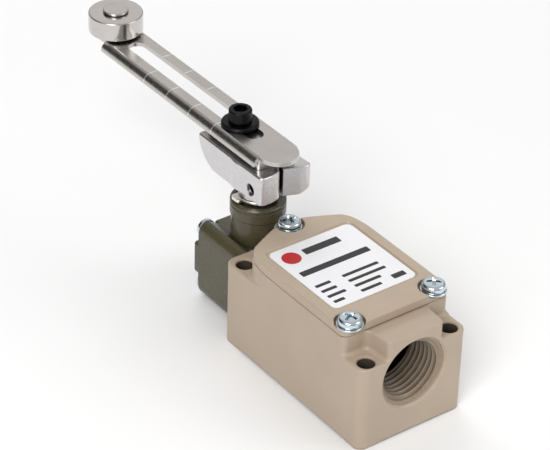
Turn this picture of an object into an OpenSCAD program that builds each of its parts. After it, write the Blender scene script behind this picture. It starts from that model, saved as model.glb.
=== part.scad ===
// Heavy-duty limit switch with an adjustable roller lever.
// It lies on its back: +Z out of the cover, +Y toward the lever head, -Y toward the conduit.
// The origin is the centre of the mounting-hole pattern, on the rear mounting face.

/* [Mounting] */
// Mounting-hole spacing across the width
hole_pitch_x = 30.2; // [30:0.1:30.6]
// Mounting-hole spacing along the length
hole_pitch_y = 58.7; // [58.4:0.1:59]
// Diameter of the mounting holes
hole_d = 5.2; // [4.8:0.1:5.4]

/* [Switch box] */
// Width of the box
box_w = 38.4; // [38:0.2:40]
// Distance from the origin to the conduit face
box_front = 33.2; // [33:0.1:34]
// Distance from the origin to the head face
box_back = 34.3; // [34:0.1:35]
// Height of the corner platforms that the mounting screws clamp
platform_z = 28.4; // [28:0.1:29]
// Height of the joint between box and cover
seam_z = 34.7; // [34.5:0.1:35]
// Height of the four rear pads
pad_h = 0.4; // [0.2:0.1:0.6]
// Thickness of the box floor above the rear face
floor_z = 3.5; // [3:0.1:4]

/* [Conduit] */
// Major diameter of the G 1/2 conduit thread
conduit_d = 20.96; // [20.8:0.01:21]
// Height of the conduit axis
conduit_z = 20.6; // [20.3:0.1:21]

/* [Cover] */
// Thickness of the cover gasket that shows at the joint
gasket_t = 0.3; // [0.2:0.1:0.4]
// Height of the cover's top face
cover_top_z = 38; // [37.8:0.1:38.4]
// Depth of the recess that holds the nameplate
plate_recess = 0.5; // [0.3:0.1:0.6]
// Thickness of the nameplate
plate_t = 0.3; // [0.2:0.05:0.4]

/* [Head] */
// Distance from the origin to the lever shaft's axis
shaft_y = 43.9; // [43.5:0.1:44.2]
// Half width of the head casting
head_half_w = 13.4; // [13.2:0.1:13.8]
// Lowest face of the head casting
head_bottom_z = 3.65; // [3.5:0.05:3.8]
// Face of the head that the shaft boss stands on
head_top_z = 24.45; // [24.3:0.05:24.6]
// Far end of the head's raised end face
head_end = 58.6; // [58.2:0.1:59]
// Top of the shaft boss
boss_top_z = 39.0; // [38.8:0.1:39.2]

/* [Lever] */
// Diameter of the lever shaft
shaft_d = 8; // [7.9:0.05:8.1]
// Top face of the slotted arm
arm_top_z = 59.65; // [59.4:0.05:60]
// Thickness of the arm's sheet steel
arm_t = 1.3; // [1.2:0.1:1.4]
// Overall width of the slotted arm
arm_w = 16.4; // [16:0.1:16.8]
// Depth of the arm's turned-down edges
arm_lip = 3; // [2.8:0.1:3.2]
// Width of the arm's slot
slot_w = 5.7; // [5.5:0.1:5.8]
// Distance from the shaft axis to the roller axis, as the lever is set
lever_r = 78.6; // [76:0.1:80]

/* [Roller] */
// Diameter of the roller
roller_d = 17.5; // [17:0.1:18]
// Thickness of the roller
roller_t = 6.4; // [6:0.1:7]

/* [Switch module] */
// Travel of the plungers and the contact bridge
travel = 1.2; // [1:0.1:1.3]

/* [Hidden] */

tiny = 0.01;
box_half_w = box_w / 2;
hole_x = hole_pitch_x / 2;
hole_y = hole_pitch_y / 2;
head_mid_z = (head_bottom_z + head_top_z) / 2;
cover_z = seam_z + gasket_t;

// Cover screws: two at the conduit end, one at the head end
cover_screw_at = [[-15.2, -21.4], [15.2, -21.4], [0, 28]];
cover_screw_seat_z = cover_top_z - 1.5;
cover_screw_pocket_r = 4.6;
cover_screw_tip_z = 29;
m4_core_r = 1.65;
m4_clear_r = 2.25;

// Outline of the upper box
pocket_x = 10;
pocket_y = -23.9;
corner_arc_r = 3.2;
box_wall = 3.3;
pad_half = 5.2;
cavity_half_w = box_half_w - box_wall;
cavity_front_y = -18.4;
cavity_back_y = 20;
conduit_lead_r = 11.2;
conduit_lead = 1.3;
conduit_rim_r = 11.8;
conduit_lip_r = 12;
conduit_lip = 0.1;
conduit_depth = box_front + cavity_front_y + conduit_lip;
module_tap_r = 1.5;
module_screw_head_r = 1.95;
module_tap_z = 1.3;

// Head
head_gasket_t = 0.5;
head_y0 = box_back + head_gasket_t;
head_body_end = 56.6;
head_screw_off = 9.8;
head_post_r = 3.5;
head_screw_head_r = 3;
head_screw_head_h = 2.2;
m35_r = 1.75;
m35_clear_r = 1.9;
boss_r = 8.25;
boss_collar_r = 8.63;
boss_collar_z = 34.2;
chamber_half = 8.2;
chamber_end = 53.4;
chamber_half_z = 7.8;
shaft_r = shaft_d / 2;
shaft_gap = 0.04;
journal_r = 3;
bushing_r = 5.5;
bushing_z0 = 23;
seal_z0 = 36.3;
seal_t = 2.2;

// Drive train inside the head
cam_r = 5.4;
cam_flat = 4.2;
cam_z0 = 9;
cam_z1 = 19;
plunger_tip_y = 38.2;
plunger_flange_t = 1.6;
plunger_flange_r = 6;
rod_r = 2.2;
spring_well_r = 4.9;
spring_well_y = 28.6;
bush_r = 3.4;
bush_y0 = 24.5;
rod_end_y = 21.9;
module_tip_y = 21.6;

// Lever clamp
clamp_z0 = 45;
clamp_z1 = 54.8;
hub_r = 6;
hub_z0 = 40.6;
indicator_z0 = 39.4;
clamp_front = 31;
clamp_far = 63.6;
clamp_corner_r = 0.8;
clamp_bulge_r = 9.2;
clamp_bolt_y = 36.4;
clamp_bolt_z = 48.5;
clamp_seat_x = 3.6;
split_w = 0.8;
arm_under_z = arm_top_z - arm_t;
slide_gap = 0.03;
rib_top_z = arm_under_z - slide_gap;
arm_half_w = arm_w / 2;
arm_bend_r = 2.75;
arm_inside_r = arm_bend_r - arm_t;
rib_half_w = 6.6;
rib_edge = 1.2;
rib_y0 = 35.4;
rib_y1 = 61.6;
arm_bolt_y = 54;
bolt_head_r = 3.6;
bolt_head_h = 4.1;
bolt_socket_r = 2.3;
arm_washer_r = 5.8;
arm_washer_t = 1.2;

// Slotted arm
lip_y0 = 35.6;
lip_y1 = 118.6;
arm_end_y = 34.4;
arm_end_r = 6.15;
slot_y0 = 46.7;
slot_y1 = 109.8;
mark_pitch = 12.1;
mark_w = 0.5;
mark_d = 0.12;
roller_y = shaft_y + lever_r;
roller_gap = 0.68;
roller_z0 = arm_top_z + roller_gap;
roller_z1 = roller_z0 + roller_t;
pin_r = 3;
pin_head_r = 4.05;

// Switch module
module_half_w = 13;
module_y0 = -14;
module_y1 = 18;
module_z1 = 18.5;
lid_z1 = 21.5;
stem_r = 2.6;
tail_r = 1.5;
stem_tail = 10.8;
bridge_y0 = 0.5;
bridge_t = 1;
pad_gap = 0.15;
pad_t = 0.5;
strip_t = 0.8;
nc_strip_y = bridge_y0 + bridge_t + pad_gap + pad_t;
no_strip_y = bridge_y0 - travel - pad_gap - pad_t - strip_t;
strip_x0 = 5;
strip_x1 = 11.4;
terminal_x = 9.8;
terminal_y = 6.2;
terminal_z = lid_z1 + strip_t;
module_screw_at = [[-10.6, -11.7], [10.6, 15.6]];
ground_x = -12.6;
ground_z = 8.6;

// Points of an arc about [cx, cy] from angle a0 to a1, in degrees
function arc(cx, cy, r, a0, a1, n = 8) =
    [for (i = [0 : n]) let (a = a0 + (a1 - a0) * i / n) [cx + r * cos(a), cy + r * sin(a)]];

// A rectangle with rounded corners, as outline points
function rounded(x0, y0, x1, y1, r, n = 8) = concat(
    arc(x1 - r, y1 - r, r, 0, 90, n), arc(x0 + r, y1 - r, r, 90, 180, n),
    arc(x0 + r, y0 + r, r, 180, 270, n), arc(x1 - r, y0 + r, r, 270, 360, n));

// The same outline seen in a mirror across the Y axis, wound the same way
function flipped(points) =
    [for (i = [len(points) - 1 : -1 : 0]) [-points[i][0], points[i][1]]];

// One half of an outline, joined to its mirror image
function both_sides(right_half) = concat(right_half, flipped(right_half));

// Right half of the box above the corner platforms, from the conduit face to the head end
upper_right = concat(
    arc(pocket_x - 1.5, -box_front + 1.5, 1.5, 270, 360, 5),
    arc(pocket_x + 2.7, pocket_y - 2.2, 2.2, 180, 90, 5),
    arc(box_half_w - 2, pocket_y + 2, 2, 270, 360, 5),
    [[box_half_w, 14.8], [18.8, 17.6], [17.8, 20.6], [15.8, 23.4], [11.6, 26.4], [8.8, 27.5]],
    arc(0, 28, 4.6, 2, 90, 8));

// Right half of the gasket's outside edge, which passes inside the cover screws
gasket_right = [
    [11.8, -23.2], [12.3, -19.1], [17.5, -19.1], [17.5, 16.8], [16.6, 19.9],
    [14.9, 22.2], [11, 25.1], [9.4, 25.4]
];

// Right half of the cover, from the conduit end to the head end
cover_right = concat(
    arc(box_half_w - 2.4, -21.7, 2.4, 270, 360, 6),
    [[box_half_w, 14.5], [18.8, 17.2], [17.7, 20.4], [15.7, 23.2], [11.4, 26.3], [9, 27.3],
    [4.6, 28.6]]);

module place_at(points) {
    for (p = points) translate([p[0], p[1], 0]) children();
}

// A rod along +Y that starts at the origin
module rod_y(r, length) {
    rotate([-90, 0, 0]) cylinder(r = r, h = length, $fn = 48);
}

// A rod along +X that starts at the origin
module rod_x(r, length) {
    rotate([0, 90, 0]) cylinder(r = r, h = length, $fn = 48);
}

// The four corners of the head, each a place for one screw along Y
module at_head_corners() {
    for (sx = [-1, 1])
        for (sz = [-1, 1])
            translate([sx * head_screw_off, 0, head_mid_z + sz * head_screw_off]) children();
}

// The four terminals of the switch module
module at_terminals() {
    for (sx = [-1, 1])
        for (sy = [-1, 1])
            translate([sx * terminal_x, sy * terminal_y, 0]) children();
}

// A coil of round wire along +Y, from y0 to y1
module coil(y0, y1, mid_r, wire_r, turns) {
    sides = 8;
    per_turn = 14;
    rings = turns * per_turn;
    climb = (y1 - y0 - 2 * wire_r) / rings;
    points = [
        for (i = [0 : rings])
            for (j = [0 : sides - 1])
                let (a = 360 * i / per_turn, b = 360 * j / sides, r = mid_r + wire_r * cos(b))
                    [r * cos(a), y0 + wire_r + climb * i + wire_r * sin(b), r * sin(a)]
    ];
    walls = [
        for (i = [0 : rings - 1])
            for (j = [0 : sides - 1])
                let (k = (j + 1) % sides)
                    [i * sides + j, (i + 1) * sides + j, (i + 1) * sides + k, i * sides + k]
    ];
    first = [for (j = [0 : sides - 1]) j];
    last = [for (j = [sides - 1 : -1 : 0]) rings * sides + j];
    polyhedron(points = points, faces = concat(walls, [first, last]), convexity = 10);
}

// The cavity that holds the switch module and the wires
module cavity_section() {
    translate([-cavity_half_w, cavity_front_y])
        square([2 * cavity_half_w, cavity_back_y - cavity_front_y]);
}

module box_outside() {
    translate([0, 0, pad_h])
        linear_extrude(platform_z - pad_h)
            polygon(rounded(-box_half_w, -box_front, box_half_w, box_back, corner_arc_r));
    translate([0, 0, platform_z - 1])
        linear_extrude(seam_z - platform_z + 1) polygon(both_sides(upper_right));
    linear_extrude(pad_h + 1) intersection() {
        polygon(rounded(-box_half_w, -box_front, box_half_w, box_back, corner_arc_r));
        for (sx = [-1, 1])
            for (sy = [-1, 1])
                translate([sx * hole_x, sy * hole_y]) square(2 * pad_half, center = true);
    }
}

module conduit_bore() {
    bore_r = conduit_d / 2;
    translate([0, -box_front, conduit_z]) {
        translate([0, -1, 0]) rod_y(bore_r, conduit_depth + 1);
        translate([0, -tiny, 0]) rod_y(conduit_lead_r, conduit_lead);
        rotate([-90, 0, 0]) translate([0, 0, -tiny])
            cylinder(r1 = conduit_rim_r, r2 = conduit_lead_r, h = 0.6, $fn = 48);
    }
}

// The cavity, less a low lip around the inner end of the conduit thread
module cavity() {
    difference() {
        translate([0, 0, floor_z]) linear_extrude(seam_z) cavity_section();
        translate([0, cavity_front_y - 1, conduit_z]) rod_y(conduit_lip_r, 1 + conduit_lip);
    }
}

module switch_box() {
    color("tan") difference() {
        box_outside();
        cavity();
        conduit_bore();
        for (sx = [-1, 1])
            for (sy = [-1, 1])
                translate([sx * hole_x, sy * hole_y, -1]) {
                    cylinder(d = hole_d, h = platform_z + 2, $fn = 48);
                    translate([0, 0, platform_z + 0.2])
                        cylinder(r1 = hole_d / 2, r2 = hole_d / 2 + 0.9, h = 0.9, $fn = 48);
                }
        place_at(cover_screw_at)
            translate([0, 0, cover_screw_tip_z - 0.4]) cylinder(r = m4_core_r, h = 10, $fn = 48);
        translate([0, spring_well_y, head_mid_z]) rod_y(spring_well_r, 10);
        translate([0, plunger_tip_y - plunger_flange_t - travel - 1.6, head_mid_z])
            rod_y(plunger_flange_r + 0.3, 10);
        translate([0, cavity_back_y - 1, head_mid_z]) rod_y(bush_r, 10);
        at_head_corners() translate([0, 27, 0]) rod_y(m35_r, 10);
        place_at(module_screw_at)
            translate([0, 0, module_tap_z]) cylinder(r = module_tap_r, h = 5, $fn = 48);
        translate([ground_x, cavity_front_y - 4, ground_z]) rod_y(module_tap_r, 5);
    }
}

module cover_gasket() {
    color("dimgray") translate([0, 0, seam_z]) linear_extrude(gasket_t) difference() {
        polygon(both_sides(gasket_right));
        cavity_section();
    }
}

module cover() {
    color("tan") difference() {
        union() {
            translate([0, 0, cover_z])
                linear_extrude(cover_top_z - cover_z) polygon(both_sides(cover_right));
            translate([0, 28, cover_z])
                cylinder(r = 4.5, h = cover_screw_seat_z - cover_z, $fn = 48);
        }
        place_at(cover_screw_at) {
            translate([0, 0, cover_z - 1]) cylinder(r = m4_clear_r, h = 6, $fn = 48);
            translate([0, 0, cover_screw_seat_z]) cylinder(r = cover_screw_pocket_r, h = 4, $fn = 48);
        }
        translate([0, 0, cover_top_z - plate_recess])
            linear_extrude(2) polygon(rounded(-15.6, -14.8, 15.6, 19.2, 2.2));
        translate([0, 0, cover_z - 1]) linear_extrude(2)
            polygon(rounded(-13, -17, 13, 17, 3));
    }
}

module nameplate() {
    color("whitesmoke") translate([0, 0, cover_top_z - plate_recess])
        linear_extrude(plate_t) polygon(rounded(-15.1, -14.3, 15.1, 18.6, 2));
}

module cover_screws() {
    color("lightsteelblue") place_at(cover_screw_at) {
        translate([0, 0, cover_screw_tip_z])
            cylinder(r = m4_core_r - 0.05, h = cover_screw_seat_z - cover_screw_tip_z + 0.1, $fn = 48);
        translate([0, 0, cover_screw_seat_z]) cylinder(r = 4, h = 0.9, $fn = 48);
        translate([0, 0, cover_screw_seat_z + 0.8]) difference() {
            cylinder(r1 = 3.8, r2 = 3.3, h = 2.5, $fn = 48);
            for (a = [0, 90])
                rotate([0, 0, a + 20]) translate([-2, -0.4, 1.2]) cube([4, 0.8, 2]);
        }
    }
}

module head_section() {
    square([2 * head_half_w, head_top_z - head_bottom_z], center = true);
    for (sx = [-1, 1])
        for (sy = [-1, 1])
            translate([sx * head_screw_off, sy * head_screw_off]) circle(r = head_post_r, $fn = 48);
}

module head_casting() {
    color("darkolivegreen") difference() {
        union() {
            translate([0, head_body_end, head_mid_z]) rotate([90, 0, 0])
                linear_extrude(head_body_end - head_y0) head_section();
            translate([-head_half_w, head_body_end - 1, head_mid_z - 5.6])
                cube([2 * head_half_w, head_end - head_body_end + 1, 11.2]);
            translate([-5.9, head_body_end - 1, head_bottom_z])
                cube([11.8, head_end - head_body_end + 1, head_top_z - head_bottom_z]);
            translate([0, shaft_y, head_top_z - 2]) cylinder(r = boss_r, h = 12, $fn = 64);
            translate([0, shaft_y, boss_collar_z])
                cylinder(r = boss_collar_r, h = boss_top_z - boss_collar_z, $fn = 64);
        }
        translate([-chamber_half, head_y0 - 1, head_mid_z - chamber_half_z])
            cube([2 * chamber_half, chamber_end - head_y0 + 1, 2 * chamber_half_z]);
        translate([0, shaft_y, 20]) cylinder(r = bushing_r, h = 30, $fn = 48);
        translate([0, shaft_y, 4.4]) cylinder(r = journal_r + shaft_gap, h = 4, $fn = 48);
        translate([0, shaft_y, boss_top_z - 0.6]) cylinder(r = 7.2, h = 2, $fn = 48);
        at_head_corners() translate([0, 30, 0]) rod_y(m35_clear_r, 30);
    }
}

module head_gasket() {
    color("black") difference() {
        translate([0, head_y0, head_mid_z]) rotate([90, 0, 0])
            linear_extrude(head_gasket_t)
                square([2 * head_half_w - 1, head_top_z - head_bottom_z - 1], center = true);
        translate([0, box_back - 1, head_mid_z]) rod_y(plunger_flange_r + 0.5, 3);
        at_head_corners() translate([0, box_back - 1, 0]) rod_y(m35_clear_r, 3);
    }
}

module head_screws() {
    color("silver") at_head_corners() {
        translate([0, 28, 0]) rod_y(m35_r - 0.05, head_body_end - 28 + 0.1);
        difference() {
            translate([0, head_body_end, 0]) rod_y(head_screw_head_r, head_screw_head_h);
            for (a = [0, 90])
                translate([0, head_body_end + 1, 0]) rotate([0, a, 0])
                    translate([-1.7, 0, -0.35]) cube([3.4, 2, 0.7]);
        }
    }
}

module shaft_bushing() {
    color("goldenrod") translate([0, shaft_y, bushing_z0]) difference() {
        cylinder(r = bushing_r, h = seal_z0 - bushing_z0 - 0.1, $fn = 48);
        translate([0, 0, -1]) cylinder(r = shaft_r + shaft_gap, h = 20, $fn = 48);
    }
}

module shaft_seal() {
    color("black") translate([0, shaft_y, seal_z0]) difference() {
        cylinder(r = bushing_r, h = seal_t, $fn = 48);
        translate([0, 0, -1]) cylinder(r = shaft_r + shaft_gap, h = 5, $fn = 48);
    }
}

module rotary_shaft() {
    color("silver") translate([0, shaft_y, 0]) {
        translate([0, 0, 4.8]) cylinder(r = journal_r, h = 3, $fn = 48);
        translate([0, 0, 7]) cylinder(r = shaft_r, h = 49, $fn = 48);
    }
}

module drive_cam() {
    color("dimgray") translate([0, shaft_y, cam_z0]) difference() {
        cylinder(r = cam_r, h = cam_z1 - cam_z0, $fn = 48);
        translate([0, 0, -1]) cylinder(r = shaft_r, h = 20, $fn = 48);
        translate([-10, -10 - cam_flat, -1]) cube([20, 10, 20]);
    }
}

module position_indicator() {
    color("silver") translate([0, shaft_y, indicator_z0]) difference() {
        union() {
            cylinder(r = 6.2, h = hub_z0 - indicator_z0, $fn = 48);
            translate([-8.4, -0.6, 0]) cube([4, 4, hub_z0 - indicator_z0]);
        }
        translate([0, 0, -1]) cylinder(r = shaft_r, h = 5, $fn = 48);
    }
}

// Half of the clamp's outline beyond the bolt, with the bulge around the shaft
clamp_rear = concat(
    [[8.8, 41]],
    arc(0, shaft_y, clamp_bulge_r, -16.5, 16.5, 6),
    [[8.8, 46.9]],
    arc(8.8 - clamp_corner_r, clamp_far - clamp_corner_r, clamp_corner_r, 0, 90, 4));

// The jaw on the thread's side, and the longer jaw that the bolt head sits in
thread_jaw = concat(
    [[split_w / 2, 33.4], [0.9, 32.3], [2, 31.6], [4.6, clamp_front]],
    arc(7.2, clamp_front + 1.5, 1.5, 270, 350, 4));
head_jaw = concat(
    [[split_w / 2, 32.2], [3, 31.3], [5.6, 30.2]],
    arc(8, clamp_front + 0.3, 1.3, 270, 350, 4));

module lever_clamp() {
    color("lightgray") difference() {
        union() {
            translate([0, 0, clamp_z0])
                linear_extrude(clamp_z1 - clamp_z0)
                    polygon(concat(head_jaw, clamp_rear, flipped(concat(thread_jaw, clamp_rear))));
            translate([0, rib_y1, 0]) rotate([90, 0, 0]) linear_extrude(rib_y1 - rib_y0)
                polygon(both_sides([[rib_half_w, clamp_z1 - 1], [rib_half_w, rib_top_z - rib_edge],
                    [rib_half_w - rib_edge, rib_top_z]]));
            translate([0, shaft_y, hub_z0]) cylinder(r = hub_r, h = clamp_z0 - hub_z0 + 1, $fn = 48);
        }
        rotate([90, 0, 90]) translate([0, 0, -10]) linear_extrude(20) polygon([
            [54.5, clamp_z0 - 1], [54.5, clamp_z0], [55.8, 45.3], [58.9, 47.1], [60.3, 48.4],
            [61.9, 50.4], [62.7, 52.4], [63.2, clamp_z1 + 0.2], [65, clamp_z1 + 0.2], [65, clamp_z0 - 1]
        ]);
        translate([0, 41, 0]) rotate([90, 0, 0]) linear_extrude(14)
            polygon([[4.5, clamp_z0 - 1], [4.5, clamp_z0], [9.8, clamp_z0 + 2.3], [9.8, clamp_z0 - 1]]);
        translate([0, shaft_y, hub_z0 - 1]) cylinder(r = shaft_r, h = 16.4, $fn = 48);
        translate([-split_w / 2, 20, hub_z0 - 1]) cube([split_w, shaft_y - 20, 20]);
        translate([-10, clamp_bolt_y, clamp_bolt_z]) rod_x(m4_core_r, 12);
        translate([-10, clamp_bolt_y, clamp_bolt_z]) rotate([0, 90, 0])
            translate([0, 0, 0.6]) cylinder(r1 = 2.6, r2 = 1.6, h = 1.2, $fn = 48);
        translate([0, clamp_bolt_y, clamp_bolt_z]) rod_x(m4_clear_r, 12);
        translate([clamp_seat_x, clamp_bolt_y, clamp_bolt_z]) rod_x(bolt_head_r + 0.2, 8);
        translate([0, arm_bolt_y, 47]) cylinder(r = m4_core_r, h = 20, $fn = 48);
    }
}

module hex_socket_bolt(shank_r, shank_l) {
    difference() {
        cylinder(r = bolt_head_r, h = bolt_head_h, $fn = 48);
        translate([0, 0, bolt_head_h - 2.2]) cylinder(r = bolt_socket_r, h = 3, $fn = 6);
    }
    translate([0, 0, -shank_l]) cylinder(r = shank_r, h = shank_l + tiny, $fn = 48);
}

module clamp_bolt() {
    color("black") translate([clamp_seat_x + 1, clamp_bolt_y, clamp_bolt_z]) rotate([0, 90, 0])
        hex_socket_bolt(m4_core_r - 0.05, 12);
}

module clamp_lock_washer() {
    color("silver") translate([clamp_seat_x, clamp_bolt_y, clamp_bolt_z]) rotate([0, 90, 0])
        difference() {
            cylinder(r = 3.4, h = 1, $fn = 48);
            translate([0, 0, -1]) cylinder(r = 2.1, h = 3, $fn = 48);
            translate([0, -0.3, -1]) cube([6, 0.6, 3]);
        }
}

module arm_bolt() {
    color("black") translate([0, arm_bolt_y, arm_top_z + slide_gap + arm_washer_t])
        hex_socket_bolt(m4_core_r - 0.05, 12);
}

module arm_washer() {
    color("black") translate([0, arm_bolt_y, arm_top_z + slide_gap]) difference() {
        cylinder(r = arm_washer_r, h = arm_washer_t, $fn = 48);
        translate([0, 0, -1]) cylinder(r = 2.1, h = 5, $fn = 48);
    }
}

// Section of the arm with its turned-down edges; skin shrinks the outside
function arm_outside(skin) = concat(
    [[arm_half_w - skin, -arm_lip]],
    arc(arm_half_w - arm_bend_r, -arm_bend_r, arm_bend_r - skin, 0, 90, 8),
    arc(arm_bend_r - arm_half_w, -arm_bend_r, arm_bend_r - skin, 90, 180, 8),
    [[skin - arm_half_w, -arm_lip]]);

// The inside of the same section, cut through at the open edge
arm_inside = concat(
    [[arm_half_w - arm_t, -arm_lip - 1]],
    arc(arm_half_w - arm_bend_r, -arm_bend_r, arm_inside_r, 0, 90, 6),
    arc(arm_bend_r - arm_half_w, -arm_bend_r, arm_inside_r, 90, 180, 6),
    [[arm_t - arm_half_w, -arm_lip - 1]]);

// Extrudes a section drawn in X and Z along +Y
module along_y(y0, y1) {
    translate([0, y1, arm_top_z]) rotate([90, 0, 0]) linear_extrude(y1 - y0) children();
}

module arm_mark(y, left) {
    along_y(y - mark_w / 2, y + mark_w / 2) intersection() {
        difference() {
            translate([-arm_half_w - 1, -arm_lip + 0.6]) square([2 * arm_half_w + 2, arm_lip]);
            polygon(arm_outside(mark_d));
        }
        translate([left ? -arm_half_w - 1 : slot_w / 2, -arm_lip]) square([arm_half_w + 1 - slot_w / 2, 9]);
    }
}

module slotted_arm() {
    color("gainsboro") difference() {
        union() {
            along_y(lip_y0, lip_y1) difference() {
                polygon(arm_outside(0));
                polygon(arm_inside);
            }
            translate([-arm_end_r, arm_end_y, arm_under_z])
                cube([2 * arm_end_r, roller_y - arm_end_y, arm_t]);
            for (y = [arm_end_y, roller_y])
                translate([0, y, arm_under_z]) cylinder(r = arm_end_r, h = arm_t, $fn = 64);
        }
        translate([-slot_w / 2, slot_y0, arm_under_z - 1]) cube([slot_w, slot_y1 - slot_y0, 4]);
        for (y = [slot_y0, slot_y1])
            translate([0, y, arm_under_z - 1]) cylinder(d = slot_w, h = 4, $fn = 48);
        translate([0, roller_y, arm_under_z - 1]) cylinder(r = 2.5, h = 4, $fn = 48);
        for (i = [0 : 3]) {
            arm_mark(57.9 + i * mark_pitch, true);
            arm_mark(64 + i * mark_pitch, false);
        }
    }
}

module roller_spacer() {
    color("silver") translate([0, roller_y, arm_top_z]) difference() {
        cylinder(r = 4.2, h = roller_gap - 0.08, $fn = 48);
        translate([0, 0, -1]) cylinder(r = pin_r, h = 3, $fn = 48);
    }
}

module roller_pin() {
    color("silver") translate([0, roller_y, 0]) {
        translate([0, 0, arm_under_z - 1]) cylinder(r1 = 3, r2 = 3.6, h = 1, $fn = 48);
        translate([0, 0, arm_under_z - tiny]) cylinder(r = 2.5, h = arm_t + 2 * tiny, $fn = 48);
        translate([0, 0, arm_top_z]) cylinder(r = pin_r, h = roller_z1 - arm_top_z + 0.2, $fn = 48);
        translate([0, 0, roller_z1 + 0.1]) cylinder(r = pin_head_r, h = 0.9, $fn = 48);
    }
}

module roller() {
    edge = 0.35;
    color("silver") translate([0, roller_y, roller_z0]) rotate_extrude($fn = 96) polygon([
        [pin_r + 0.05, 0], [roller_d / 2 - edge, 0], [roller_d / 2, edge],
        [roller_d / 2, roller_t - edge], [roller_d / 2 - edge, roller_t], [pin_r + 0.05, roller_t]
    ]);
}

module drive_plunger() {
    color("silver") translate([0, 0, head_mid_z]) {
        translate([0, plunger_tip_y - plunger_flange_t, 0]) rod_y(plunger_flange_r, plunger_flange_t);
        translate([0, rod_end_y, 0]) rod_y(rod_r, plunger_tip_y - rod_end_y - 1);
    }
}

module plunger_spring() {
    color("silver") translate([0, 0, head_mid_z])
        coil(spring_well_y, plunger_tip_y - plunger_flange_t, 3.7, 0.4, 4);
}

module plunger_bush() {
    color("goldenrod") translate([0, bush_y0, head_mid_z]) difference() {
        rod_y(bush_r, spring_well_y - bush_y0);
        translate([0, -1, 0]) rod_y(rod_r + shaft_gap, 10);
    }
}

module module_base() {
    color("saddlebrown") difference() {
        translate([0, 0, floor_z]) linear_extrude(module_z1 - floor_z)
            polygon(rounded(-module_half_w, module_y0, module_half_w, module_y1, 1.5, 3));
        translate([-7.9, -10, 6.5]) cube([15.8, 22, 20]);
        translate([0, 11, head_mid_z]) rod_y(stem_r + 0.08, 10);
        translate([0, -12.5, head_mid_z]) rod_y(tail_r + 0.08, 4);
        for (sx = [-1, 1])
            for (y = [nc_strip_y, no_strip_y])
                translate([sx * 9.65 - 1.95, y - 0.1, 10.9]) cube([3.9, strip_t + 0.2, 20]);
        at_terminals() translate([0, 0, 14.6]) cylinder(r = 1.6, h = 10, $fn = 48);
        place_at(module_screw_at) cylinder(r = 1.7, h = 30, $fn = 48);
    }
}

module module_lid() {
    color("firebrick") difference() {
        translate([0, 0, module_z1]) linear_extrude(lid_z1 - module_z1)
            polygon(rounded(-module_half_w, module_y0, module_half_w, module_y1, 1.5, 3));
        for (sx = [-1, 1])
            for (y = [nc_strip_y, no_strip_y])
                translate([sx * 9.95 - 1.65, y - 0.1, 10]) cube([3.3, strip_t + 0.2, 20]);
        at_terminals() translate([0, 0, 14.6]) cylinder(r = 1.6, h = 10, $fn = 48);
        place_at(module_screw_at) cylinder(r = 1.7, h = 30, $fn = 48);
    }
}

module module_screws() {
    color("silver") place_at(module_screw_at) {
        translate([0, 0, 1.6]) cylinder(r = 1.45, h = lid_z1 - 1.5, $fn = 48);
        translate([0, 0, lid_z1]) difference() {
            cylinder(r = module_screw_head_r, h = 1.8, $fn = 48);
            translate([-3, -0.35, 0.9]) cube([6, 0.7, 2]);
        }
    }
}

// One contact strip: silver pad, arm, riser and terminal, drawn for +X; side is +1 for +Y
module contact_strip(strip_y, side) {
    pad_y = side > 0 ? strip_y - pad_t : strip_y + strip_t;
    translate([strip_x0, strip_y, 11.4]) cube([strip_x1 - strip_x0, strip_t, 5.2]);
    translate([8.5, strip_y, 11.4]) cube([strip_x1 - 8.5, strip_t, lid_z1 - 11.4 + strip_t]);
    translate([6.2, pad_y, head_mid_z]) rod_y(1.2, pad_t);
    plate_y = side > 0 ? strip_y : -terminal_y - 3.2;
    plate_l = side > 0 ? terminal_y + 3.2 - strip_y : strip_y + strip_t + terminal_y + 3.2;
    difference() {
        translate([6.8, plate_y, lid_z1]) cube([6, plate_l, strip_t]);
        translate([terminal_x, side * terminal_y, lid_z1 - 1]) cylinder(r = 1.6, h = 5, $fn = 48);
    }
}

module nc_contacts() {
    color("gold") {
        contact_strip(nc_strip_y, 1);
        mirror([1, 0, 0]) contact_strip(nc_strip_y, 1);
    }
}

module no_contacts() {
    color("gold") {
        contact_strip(no_strip_y, -1);
        mirror([1, 0, 0]) contact_strip(no_strip_y, -1);
    }
}

module terminal_clamps() {
    color("silver") at_terminals() translate([0, 0, terminal_z]) difference() {
        translate([-2.9, -2.9, 0]) cube([5.8, 5.8, 0.7]);
        translate([0, 0, -1]) cylinder(r = 1.6, h = 3, $fn = 48);
    }
}

module terminal_screws() {
    color("silver") at_terminals() {
        translate([0, 0, 15]) cylinder(r = 1.5, h = terminal_z + 0.7 - 15 + tiny, $fn = 48);
        translate([0, 0, terminal_z + 0.7]) difference() {
            cylinder(r = 2.7, h = 1.8, $fn = 48);
            for (a = [0, 90])
                rotate([0, 0, a]) translate([-1.7, -0.35, 0.9]) cube([3.4, 0.7, 2]);
        }
    }
}

module module_plunger() {
    color("white") translate([0, 0, head_mid_z]) {
        translate([0, bridge_y0 + bridge_t, 0])
            rod_y(stem_r, module_tip_y - bridge_y0 - bridge_t);
        translate([0, -stem_tail, 0]) rod_y(tail_r, stem_tail + bridge_y0 + bridge_t + tiny);
    }
}

module contact_bridge() {
    color("gold") difference() {
        union() {
            translate([-7.6, bridge_y0 + 0.2, head_mid_z - 1.8]) cube([15.2, bridge_t - 0.4, 3.6]);
            for (sx = [-1, 1])
                translate([sx * 6.2, bridge_y0, head_mid_z]) rod_y(1.2, bridge_t);
        }
        translate([0, -5, head_mid_z]) rod_y(tail_r, 10);
    }
}

module contact_spring() {
    color("silver") translate([0, 0, head_mid_z]) coil(-9.9, bridge_y0 + 0.15, 2.3, 0.3, 5);
}

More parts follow.
